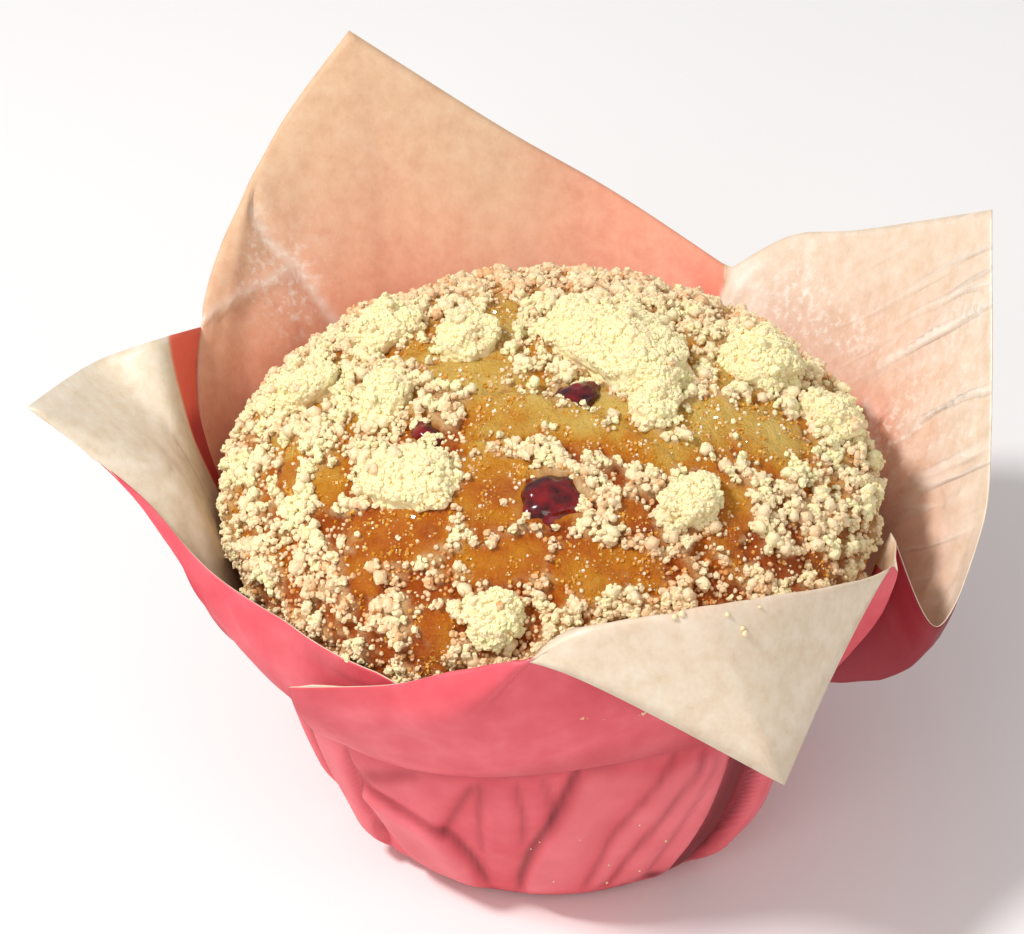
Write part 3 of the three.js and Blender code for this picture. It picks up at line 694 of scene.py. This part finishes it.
# Where the glaze shows between the crumbs: middle in plan and half sizes, in millimetres
GLAZED = [
    (-5.3, -8.4, 6.3, 4.3), (-10.5, 0.7, 5.9, 4.3), (-6.5, 13, 1.7, 10.7), (-17.2, 6.4, 2.1, 2.4),
    (-7.5, -20.6, 4.3, 7.7), (-18.2, -25.1, 7.6, 4.4), (-5, -31, 6, 2.9), (-32.8, -11.3, 1.1, 5.1),
    (-27.6, -15.9, 1.6, 2.9), (-23, -30.1, 2, 0.9), (2.7, -10.1, 4.2, 2.6), (12, -13.7, 6.8, 3.9),
    (19.3, -9.3, 3.1, 7.2), (21.7, 3.9, 1.1, 5.2), (27.3, -6.3, 5, 6.5), (21.8, -22.6, 2, 6.8),
    (4, -31.4, 5.4, 3.2), (11.3, -31.5, 2, 2.3), (10.2, -24.9, 2.3, 2), (33.2, -21.9, 1.1, 0.9),
    (7.8, -6.7, 3.1, 1.2), (-14, -36.7, 1.8, 2.2), (-0.4, -23, 3.6, 3.8), (3.4, -4.6, 3, 2.4),
]


def profile_point(share):
    """Reach and height at a share of the way from the top of the dome to the floor's middle."""
    if share <= DOME_SHARE:
        angle = share / DOME_SHARE * math.pi / 2
        reach = CAKE_WIDEST_RADIUS * math.sin(angle) ** (2 / DOME_FULLNESS)
        rise = max(0.0, math.cos(angle)) ** (2 / DOME_FULLNESS)
        return reach, mix(CAKE_WIDEST_HEIGHT, CAKE_TOP, rise)
    if share <= LIP_SHARE:
        down = (share - DOME_SHARE) / (LIP_SHARE - DOME_SHARE)
        height = mix(CAKE_WIDEST_HEIGHT, CAKE_NECK_HEIGHT, down)
        return cake_radius(height), height
    if share <= WALL_SHARE:
        down = (share - LIP_SHARE) / (WALL_SHARE - LIP_SHARE)
        height = mix(CAKE_NECK_HEIGHT, CAKE_FLOOR, down)
        return cake_radius(height), height
    return CAKE_BASE_RADIUS * (1 - share) / (1 - WALL_SHARE), CAKE_FLOOR


def split_height(x, y):
    """The lip along the split in the crust, raised in front and sunk just behind, in millimetres."""
    nearest = None
    for (ax, ay), (bx, by) in zip(SPLIT, SPLIT[1:]):
        length = math.hypot(bx - ax, by - ay)
        along = min(1, max(0, ((x - ax) * (bx - ax) + (y - ay) * (by - ay)) / length ** 2))
        px, py = ax + along * (bx - ax), ay + along * (by - ay)
        distance = math.hypot(x - px, y - py)
        if nearest is None or distance < nearest[0]:
            nearest = (distance, (bx - ax) * (y - ay) - (by - ay) * (x - ax))
    distance, side = nearest
    if side < 0:
        return 1.1 * math.exp(-(distance / 3) ** 2)
    return -1.2 * math.exp(-(distance / 1.6) ** 2) + math.exp(-(distance / 0.6) ** 2)


def crumb_cover(place):
    """How thickly crumbs lie at a place on the crust: 0 on bare glaze, 1 where they hide it."""
    ragged = 0.5 * noise.noise(place / 2.6) + 0.3 * noise.noise(place / 1.1)
    nearest = min(math.hypot((place.x - x) / (wide + 0.5), (place.y - y) / (deep + 0.5))
                  for x, y, wide, deep in GLAZED)
    return smooth(nearest + ragged, 0.7, 1.2)


def clumps(place):
    """Where the crumbs stand in clumps: 1 on a clump, 0 in the glazed gap beside it."""
    value = noise.noise(place / 3.4 + Vector((4, 0, 7))) + 0.55 * noise.noise(place / 1.5)
    return smooth(value, -0.3, 0.2)


def crust_relief(place, cover, clump):
    """How far the crust stands above or below the smooth dome, in millimetres."""
    if place.z < CAKE_NECK_HEIGHT:
        return 0.1 * noise.noise(place / 3)
    swell = 0.55 * noise.noise(place / 9) + 0.3 * noise.noise(place / 3.1)
    soaked = cover * (1.1 * clump - 0.35 - 0.5 * noise.voronoi(place / 1.3)[0][0])
    pore = -0.4 * max(0, noise.noise(place / 1.4 + Vector((9, 2, 4))) - 0.25)
    grain = 0.16 * noise.noise(place / 0.9) + 0.2 * noise.noise(place / 1.7)
    split = split_height(place.x, place.y) if place.z > SPLIT_FROM_HEIGHT else 0
    return swell + soaked + pore + grain + split - 0.25


bpy.ops.object.select_all(action="DESELECT")
bpy.ops.mesh.primitive_uv_sphere_add(segments=CAKE_TURNS, ring_count=CAKE_RINGS, radius=1)
cake = bpy.context.object
cake.name = "muffin_crust"
covers, browned = [], []
for vertex in cake.data.vertices:
    share = math.acos(max(-1, min(1, vertex.co.z))) / math.pi
    angle = math.atan2(vertex.co.y, vertex.co.x)
    reach, height = profile_point(share)
    place = Vector((reach * math.cos(angle), reach * math.sin(angle), height))
    out = (place - Vector((0, 0, MIDDLE_HEIGHT))).normalized()
    cover, clump = crumb_cover(place), clumps(place)
    vertex.co = (place + out * crust_relief(place, cover, clump)) * MM
    covers.append(cover * clump)
    front = min(1, max(0, (-place.y - 6) / 16))
    browned.append(0.75 * front + 0.5 * cover * (1 - clump) + 0.5 * noise.noise(place / 6))
cake.data.attributes.new("crumb_cover", "FLOAT", "POINT").data.foreach_set("value", covers)
cake.data.attributes.new("browned", "FLOAT", "POINT").data.foreach_set("value", browned)
cake.data.shade_smooth()

# Baked crust under an apricot glaze: golden where the glaze is thick, orange brown at its edges,
# and the tan of soaked crumbs where they lie thick. Sugar in the glaze breaks up its shine.
crust, shader = new_material("glazed baked crust",
                             {"Specular IOR Level": 0.25, "Coat Weight": 0.55, "Coat Roughness": 0.06})
place = add_node(crust, "TexCoord")
under = add_node(crust, "Attribute", {"attribute_name": "crumb_cover"})
bake = add_node(crust, "Attribute", {"attribute_name": "browned"})
patches = add_node(crust, "TexNoise", {"Scale": 260.0, "Detail": 6.0, "Roughness": 0.65}, Vector=place)
shift = add_node(crust, "Math", {"operation": "MULTIPLY_ADD", 1: 1.1, 2: -0.4}, _0=patches)
depth = add_node(crust, "Math", {"operation": "MULTIPLY_ADD", 1: 0.8}, _0=bake, _2=shift)
glaze = add_node(crust, "ValToRGB",
                 {"stops": [(0.0, "#EBC463"), (0.25, "#E2AE47"), (0.5, "#DA8C1C"),
                            (0.8, "#C8690C"), (1.0, "#B25007")]},
                 Fac=depth)
soaked = add_node(crust, "ValToRGB", {"stops": [(0.35, "#DDA468"), (0.6, "#EBC48E")]}, Fac=patches)
crust_tone = add_node(crust, "Mix", {"data_type": "RGBA"}, _0=under, _6=glaze, _7=soaked)
join(crust, crust_tone, shader.inputs["Base Color"])
pits = add_node(crust, "TexNoise", {"Scale": 1100.0, "Detail": 6.0, "Roughness": 0.7}, Vector=place)
bump = add_node(crust, "Bump", {"Strength": 1.0, "Distance": 1.1 * MM}, Height=pits)
join(crust, bump, shader.inputs["Normal"])
join(crust, bump, shader.inputs["Coat Normal"])
dull = add_node(crust, "Math", {"operation": "MULTIPLY_ADD", 1: 0.3, 2: 0.4}, _0=under)
join(crust, dull, shader.inputs["Roughness"])
cake.data.materials.append(crust)
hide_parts("muffin")
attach(cake, "root")


# Jam: spots of dark berry jam that boiled up through the crust, each a low glossy drop with a
# wavy outline in its own hollow. Each has a middle in plan, two half sizes and a height.
JAMS = {
    "jam_front": (-0.3, -22.9, 4.2, 4, 1.9),
    "jam_back": (3.4, -4.4, 3.6, 2.5, 1.8),
    "jam_left": (-15.7, -10.6, 2.4, 1.6, 1.4),
}
JAM_SUNK = 0.45


def dome_point(x, y):
    share = min(0.995, math.hypot(x, y) / CAKE_WIDEST_RADIUS)
    rise = (CAKE_TOP - CAKE_WIDEST_HEIGHT) * (1 - share ** DOME_FULLNESS) ** (1 / DOME_FULLNESS)
    return Vector((x, y, CAKE_WIDEST_HEIGHT + rise))


def dome_normal(x, y):
    step = 0.2
    east = dome_point(x + step, y) - dome_point(x - step, y)
    north = dome_point(x, y + step) - dome_point(x, y - step)
    return east.cross(north).normalized()


# Jam is dark and clear, so it shows little colour of its own and a sharp wet shine
jam_stuff, shader = new_material("boiled berry jam", {
    "Roughness": 0.15, "Specular IOR Level": 0.35, "Coat Weight": 0.4, "Coat Roughness": 0.04})
place = add_node(jam_stuff, "TexCoord")
clouds = add_node(jam_stuff, "TexNoise", {"Scale": 500.0, "Detail": 3.0}, Vector=place)
berry = add_node(jam_stuff, "ValToRGB", {"stops": [(0.35, "#2E0104"), (0.7, "#850C14")]}, Fac=clouds)
join(jam_stuff, berry, shader.inputs["Base Color"])
jam_drops = []
for name, (x, y, wide, deep, tall) in JAMS.items():
    bpy.ops.object.select_all(action="DESELECT")
    bpy.ops.mesh.primitive_uv_sphere_add(segments=64, ring_count=40, radius=1)
    jam = bpy.context.object
    jam.name = name + "_drop"
    upright = dome_normal(x, y).to_track_quat("Z", "Y").to_matrix()
    seat = dome_point(x, y) - dome_normal(x, y) * JAM_SUNK * tall
    for vertex in jam.data.vertices:
        wave = 1 + 0.28 * noise.noise(vertex.co * 1.4 + Vector((x, y, 0)))
        place = Vector((vertex.co.x * wide * wave, vertex.co.y * deep * wave, vertex.co.z * tall))
        place.z += 0.25 * noise.noise(place / 1.3 + Vector((x, 0, y)))
        vertex.co = (seat + upright @ place) * MM
    jam.data.shade_smooth()
    jam.data.materials.append(jam_stuff)
    jam_drops.append(jam)
    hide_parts(name)
    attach(jam, "root")


# Crumble lumps: butter, flour and sugar rubbed together, in pieces as large as berries, pale and
# nobbly all over. Each is a ball pulled to its half sizes and height, turned, and laid on the crust.
LUMPS = [
    (8.4, 5.4, 11.4, 7, 4.6, 4), (12.8, -6, 4.4, 3, 2.8, 15), (26.6, 7.6, 5.2, 5.4, 4.2, 30),
    (-17.4, -18.6, 6, 4.6, 3, 20), (-21.2, 13.6, 4.8, 3.9, 3.6, -20), (-10.6, 8, 4.8, 3.8, 3.2, 15),
    (-31, 3.8, 3, 4.4, 3, 10), (-20.6, -3.4, 4.3, 3.4, 2.8, -10), (35, 1.6, 3, 4, 3.2, -15),
    (17.2, -21.8, 4.2, 3.2, 2.6, 20), (-6.6, -37, 3.4, 3.4, 2.8, 0),
]
# Baked butter crumble: the tone runs from the tan of soaked crumbs, and of crumbs behind darkened
# as painted shade, to pale butter yellow, and the surface is a fine sandy grit
crumble, shader = new_material("baked butter crumble", {"Roughness": 0.6, "Specular IOR Level": 0.3})
place = add_node(crumble, "TexCoord")
tone = add_node(crumble, "Attribute", {"attribute_name": "tone"})
specks = add_node(crumble, "TexNoise", {"Scale": 700.0, "Detail": 4.0}, Vector=place)
shade = add_node(crumble, "Math", {"operation": "MULTIPLY_ADD", 1: 0.3}, _0=specks, _2=tone)
butter = add_node(crumble, "ValToRGB",
                  {"stops": [(0.1, "#D4904F"), (0.35, "#E8BB8A"), (0.6, "#F2D8B0"),
                             (0.82, "#F2E1B3"), (1.0, "#F4ECB6")]},
                  Fac=shade)
join(crumble, butter, shader.inputs["Base Color"])
fine = add_node(crumble, "TexNoise", {"Scale": 1500.0, "Detail": 5.0}, Vector=place)
bump = add_node(crumble, "Bump", {"Strength": 0.8, "Distance": 0.35 * MM}, Height=fine)
join(crumble, bump, shader.inputs["Normal"])

lumps = []
for number, (x, y, wide, deep, tall, turn) in enumerate(LUMPS, 1):
    bpy.ops.object.select_all(action="DESELECT")
    bpy.ops.mesh.primitive_ico_sphere_add(subdivisions=7 if wide > 8 else 6, radius=1)
    lump = bpy.context.object
    lump.name = f"crumble_lump_{number}_nobbly"
    upright = dome_normal(x, y).to_track_quat("Z", "Y").to_matrix()
    spin = Matrix.Rotation(math.radians(turn), 3, "Z")
    seat = dome_point(x, y)
    drift = Vector((number * 7.3, number * 3.1, 0))
    for vertex in lump.data.vertices:
        shape = 1 + 0.25 * noise.noise(vertex.co * 1.7 + drift)
        place = Vector((vertex.co.x * wide, vertex.co.y * deep, vertex.co.z * tall)) * shape
        knob = 0.62 - 1.2 * noise.voronoi(place / 2.6 + drift)[0][0]
        grit = 0.15 - 0.3 * noise.voronoi(place / 0.9 + drift)[0][0]
        place += vertex.co * (knob * 0.9 + grit)
        vertex.co = (seat + upright @ (spin @ place)) * MM
    values = [0.72 + 0.2 * noise.noise(v.co / MM / 2.4) for v in lump.data.vertices]
    lump.data.attributes.new("tone", "FLOAT", "POINT").data.foreach_set("value", values)
    lump.data.shade_smooth()
    lump.data.materials.append(crumble)
    lumps.append(lump)
    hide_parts(f"crumble_lump_{number}")
    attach(lump, "root")


# Crumbs: the same crumble in nuggets of 1 to 2 mm with finer grit stuck on and between them, thick
# at the sides and thin where the glaze shows. Each kind is one mesh, laid on what is below.
under_points, under_faces = [], []
for piece in (cake, *lumps, *jam_drops):
    first = len(under_points)
    under_points += [vertex.co.copy() for vertex in piece.data.vertices]
    under_faces += [[first + index for index in face.vertices] for face in piece.data.polygons]
    if piece == cake:
        crust_faces = len(under_faces)
under_crumbs = BVHTree.FromPolygons(under_points, under_faces)
draws = random.Random(11)
FULL_TURN = 6.28
STARTS_ABOVE, REACHES = 9, 14
BANDS = 240
rows_down = [profile_point(DOME_SHARE * 1.05 * k / BANDS) for k in range(BANDS + 1)]
areas = [0.0]
for (r0, z0), (r1, z1) in zip(rows_down, rows_down[1:]):
    areas.append(areas[-1] + (r0 + r1) * math.hypot(r1 - r0, z1 - z0))


def land():
    """A random landing place, even over the crust: the point, the way out, and whether on a lump."""
    while True:
        k = min(len(rows_down) - 1, max(1, bisect.bisect(areas, draws.random() * areas[-1])))
        (r0, z0), (r1, z1) = rows_down[k - 1], rows_down[k]
        share, angle = draws.random(), draws.uniform(0, 2 * math.pi)
        ray = Vector((math.cos(angle), math.sin(angle), 0))
        out = (ray * (z0 - z1) + Vector((0, 0, r1 - r0))).normalized()
        start = ray * mix(r0, r1, share) + Vector((0, 0, mix(z0, z1, share))) + out * STARTS_ABOVE
        hit, _, face, _ = under_crumbs.ray_cast(start * MM, -out, REACHES * MM)
        if hit:
            return hit / MM, out, face >= crust_faces


def grit_shapes(count, segments, rings, roughness):
    """Rough balls to copy, each its points and its faces. Grains repeat by thousands, so few faces."""
    shapes = []
    for variant in range(count):
        bpy.ops.object.select_all(action="DESELECT")
        bpy.ops.mesh.primitive_uv_sphere_add(segments=segments, ring_count=rings, radius=1)
        ball = bpy.context.object
        ball.modifiers.new("triangles", "TRIANGULATE")
        bpy.ops.object.modifier_apply(modifier="triangles")
        drift = Vector((variant * 5, 1, 2))
        points = [v.co * (1 + roughness * noise.noise(v.co * 1.6 + drift)) for v in ball.data.vertices]
        shapes.append((np.array(points), np.array([face.vertices for face in ball.data.polygons])))
        bpy.data.objects.remove(ball)
    return shapes


def joined_grains(name, grains, shapes, material, smooth_faces):
    """One mesh from many grains, each a place, a size and a tone."""
    points, faces, tones = [], [], []
    count = 0
    for place, size, value in grains:
        shape, sides = draws.choice(shapes)
        turn = Matrix.Rotation(draws.uniform(0, FULL_TURN), 3, "Z")
        turn = turn @ Matrix.Rotation(draws.uniform(0, FULL_TURN), 3, "X")
        stretch = Matrix.Diagonal([size * draws.uniform(0.75, 1.25) for _ in range(3)])
        points.append(shape @ np.array(turn @ stretch).T + np.array(place))
        faces.append(sides + count)
        tones.append(np.full(len(shape), value))
        count += len(shape)
    mesh = bpy.data.meshes.new(name)
    mesh.from_pydata((np.concatenate(points) * MM).tolist(), [], np.concatenate(faces).tolist())
    mesh.attributes.new("tone", "FLOAT", "POINT").data.foreach_set("value", np.concatenate(tones))
    if smooth_faces:
        mesh.shade_smooth()
    piece = bpy.data.objects.new(name, mesh)
    bpy.context.scene.collection.objects.link(piece)
    mesh.materials.append(material)
    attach(piece, "root")


def near_jam(place, margin):
    return any(math.hypot((place.x - x) / (wide + margin), (place.y - y) / (deep + margin)) < 1
               for x, y, wide, deep, tall in JAMS.values())


def tone_at(place):
    """Crumbs are soaked and tan low in front, darker behind as painted shade, and buttery on the left and
    on top.
    """
    drift = 0.36 * noise.noise(place / 3.6) + 0.2 * noise.noise(place / 1.7)
    # Low in front the darkening is soaked crumbs; behind, it is painted shade
    soaked = 0.22 * smooth(-place.y, 14, 34) + 0.28 * smooth(place.y, 12, 32)
    return float(0.57 + drift - soaked)


def under_rim(place):
    """Grains are smaller low down, where the paper stands close."""
    return min(1.0, max(0.4, (place.z - 42) / 8))


NUGGETS, GRIT_PER_NUGGET, GRIT_HIGH, GRIT_LOW, GRIT_ON_LUMPS = 3000, 3, 9500, 7500, 6500
nuggets, grit_on_nuggets, grit_high, grit_low, grit_on_lumps = [], [], [], [], []
while len(nuggets) < NUGGETS:
    place, out, on_lump = land()
    thick = crumb_cover(place) * clumps(place)
    if near_jam(place, 1.0) or draws.random() > thick ** 1.5 or (on_lump and draws.random() > 0.25):
        continue
    size = (0.42 + 0.5 * draws.random() ** 1.5) * under_rim(place)
    tone_here = tone_at(place) + draws.uniform(-0.1, 0.2)
    middle_of_nugget = place + out * size * draws.uniform(0.2, 0.9)
    nuggets.append((middle_of_nugget, size, tone_here))
    for _ in range(GRIT_PER_NUGGET):
        around = Vector((draws.gauss(0, 1), draws.gauss(0, 1), draws.gauss(0, 1))).normalized()
        around = (around + out * 0.6).normalized()
        grit_on_nuggets.append((middle_of_nugget + around * size * 0.9, draws.uniform(0.2, 0.42),
                                tone_here + draws.uniform(-0.05, 0.25)))
while len(grit_high) < GRIT_HIGH:
    place, out, on_lump = land()
    thick = crumb_cover(place) * clumps(place)
    if near_jam(place, 0.5) or on_lump or draws.random() > thick:
        continue
    size = draws.uniform(0.28, 0.52) * under_rim(place)
    middle_of_grain = place + out * size * draws.uniform(0.2, 1.4)
    grit_high.append((middle_of_grain, size, tone_at(place) + draws.uniform(-0.1, 0.25)))
while len(grit_low) < GRIT_LOW:
    place, out, on_lump = land()
    if near_jam(place, 0.1) or on_lump or draws.random() > 0.02 + 0.98 * crumb_cover(place):
        continue
    size = draws.uniform(0.18, 0.4)
    grit_low.append((place + out * size * 0.2, size, tone_at(place) + draws.uniform(-0.4, 0.05)))
while len(grit_on_lumps) < GRIT_ON_LUMPS:
    place, out, on_lump = land()
    if on_lump and not near_jam(place, -0.3):
        size = draws.uniform(0.25, 0.5)
        grit_on_lumps.append((place + out * size * 0.1, size, draws.uniform(0.55, 0.9)))
coarse_shapes = grit_shapes(6, 6, 4, 0.5)
fine_shapes = grit_shapes(4, 5, 3, 0.4)
joined_grains("crumb_nuggets", nuggets, coarse_shapes, crumble, True)
joined_grains("crumb_grit_on_nuggets", grit_on_nuggets, fine_shapes, crumble, False)
joined_grains("crumb_grit_high", grit_high, fine_shapes, crumble, False)
joined_grains("crumb_grit_low", grit_low, fine_shapes, crumble, True)
joined_grains("crumb_grit_on_lumps", grit_on_lumps, fine_shapes, crumble, False)


# Stray crumbs: a few grains that fell on the flap, placed by foot, share of the way up and size,
# and finer ones that stuck to the wall, placed by turn and height.
FAR_OFF = 100
FLAP = 3
ON_FLAP = [(287, 0.57, 0.5), (286, 0.6, 0.35), (294, 0.69, 0.3), (296, 0.82, 0.4), (295.5, 0.8, 0.3),
           (301, 0.7, 0.25)]
ON_WALL = [(266, 15), (268, 17), (271, 9), (284, 6), (283, 12), (288, 20), (295, 16), (276, 19), (291, 9)]
strays = []
for foot, share, size in ON_FLAP:
    column = int(np.argmin(np.abs(feet - foot) + FAR_OFF * (petal_numbers != FLAP)))
    row = FLOOR_ROWS + WALL_ROWS + 1 + round(share * PETAL_ROWS)
    at = middle_surface[column, row] - outwards[column, row] * (PAPER + 0.5 * size)
    strays.append((Vector(at), size, 0.6))
for turn, height in ON_WALL:
    elsewhere = ~on_wall | (parts != FLAP)[:, None]
    nearest = np.abs(turns - turn) + np.abs(heights - height) + FAR_OFF * elsewhere
    column, row = np.unravel_index(nearest.argmin(), nearest.shape)
    at = middle_surface[column, row] + outwards[column, row] * (relief[column, row] + 0.05)
    strays.append((Vector(at), draws.uniform(0.1, 0.18), 0.7))
joined_grains("crumb_strays", strays, coarse_shapes, crumble, True)


# Sugar: coarse crystals baked into the glaze, some amber and some clear and white, which glitter
# in loose drifts; the whitest are painted highlights, standing in for glints. Each is a small block.
SUGAR_CRYSTALS = 6000
# Sugar is smooth and clear, so each crystal shows a small sharp glint
sugar, shader = new_material("clear sugar crystals", {"Roughness": 0.12, "Specular IOR Level": 0.8})
# Painted highlight: the highest tones are near white
bright = add_node(sugar, "Attribute", {"attribute_name": "tone"})
clear = add_node(sugar, "ValToRGB", {"stops": [(0.2, "#D08A22"), (0.7, "#E3B055"), (0.95, "#FFF2D8")]},
                 Fac=bright)
join(sugar, clear, shader.inputs["Base Color"])
bpy.ops.object.select_all(action="DESELECT")
bpy.ops.mesh.primitive_cube_add(size=2)
block = bpy.context.object
bpy.ops.object.modifier_add(type="TRIANGULATE")
bpy.ops.object.modifier_apply(modifier="Triangulate")
crystal_shapes = [(np.array([tuple(v.co) for v in block.data.vertices]),
                   np.array([face.vertices for face in block.data.polygons]))]
bpy.data.objects.remove(block)
crystals = []
while len(crystals) < SUGAR_CRYSTALS:
    place, out, on_lump = land()
    scattered = smooth(noise.noise(place / 2.2), -0.3, 0.3)
    if near_jam(place, 0) or draws.random() > scattered * (1 - 0.8 * crumb_cover(place)):
        continue
    size = 0.05 + 0.14 * draws.random() ** 2.5
    crystals.append((place + out * size * 0.3, size, draws.random()))
joined_grains("sugar_crystals", crystals, crystal_shapes, sugar, False)
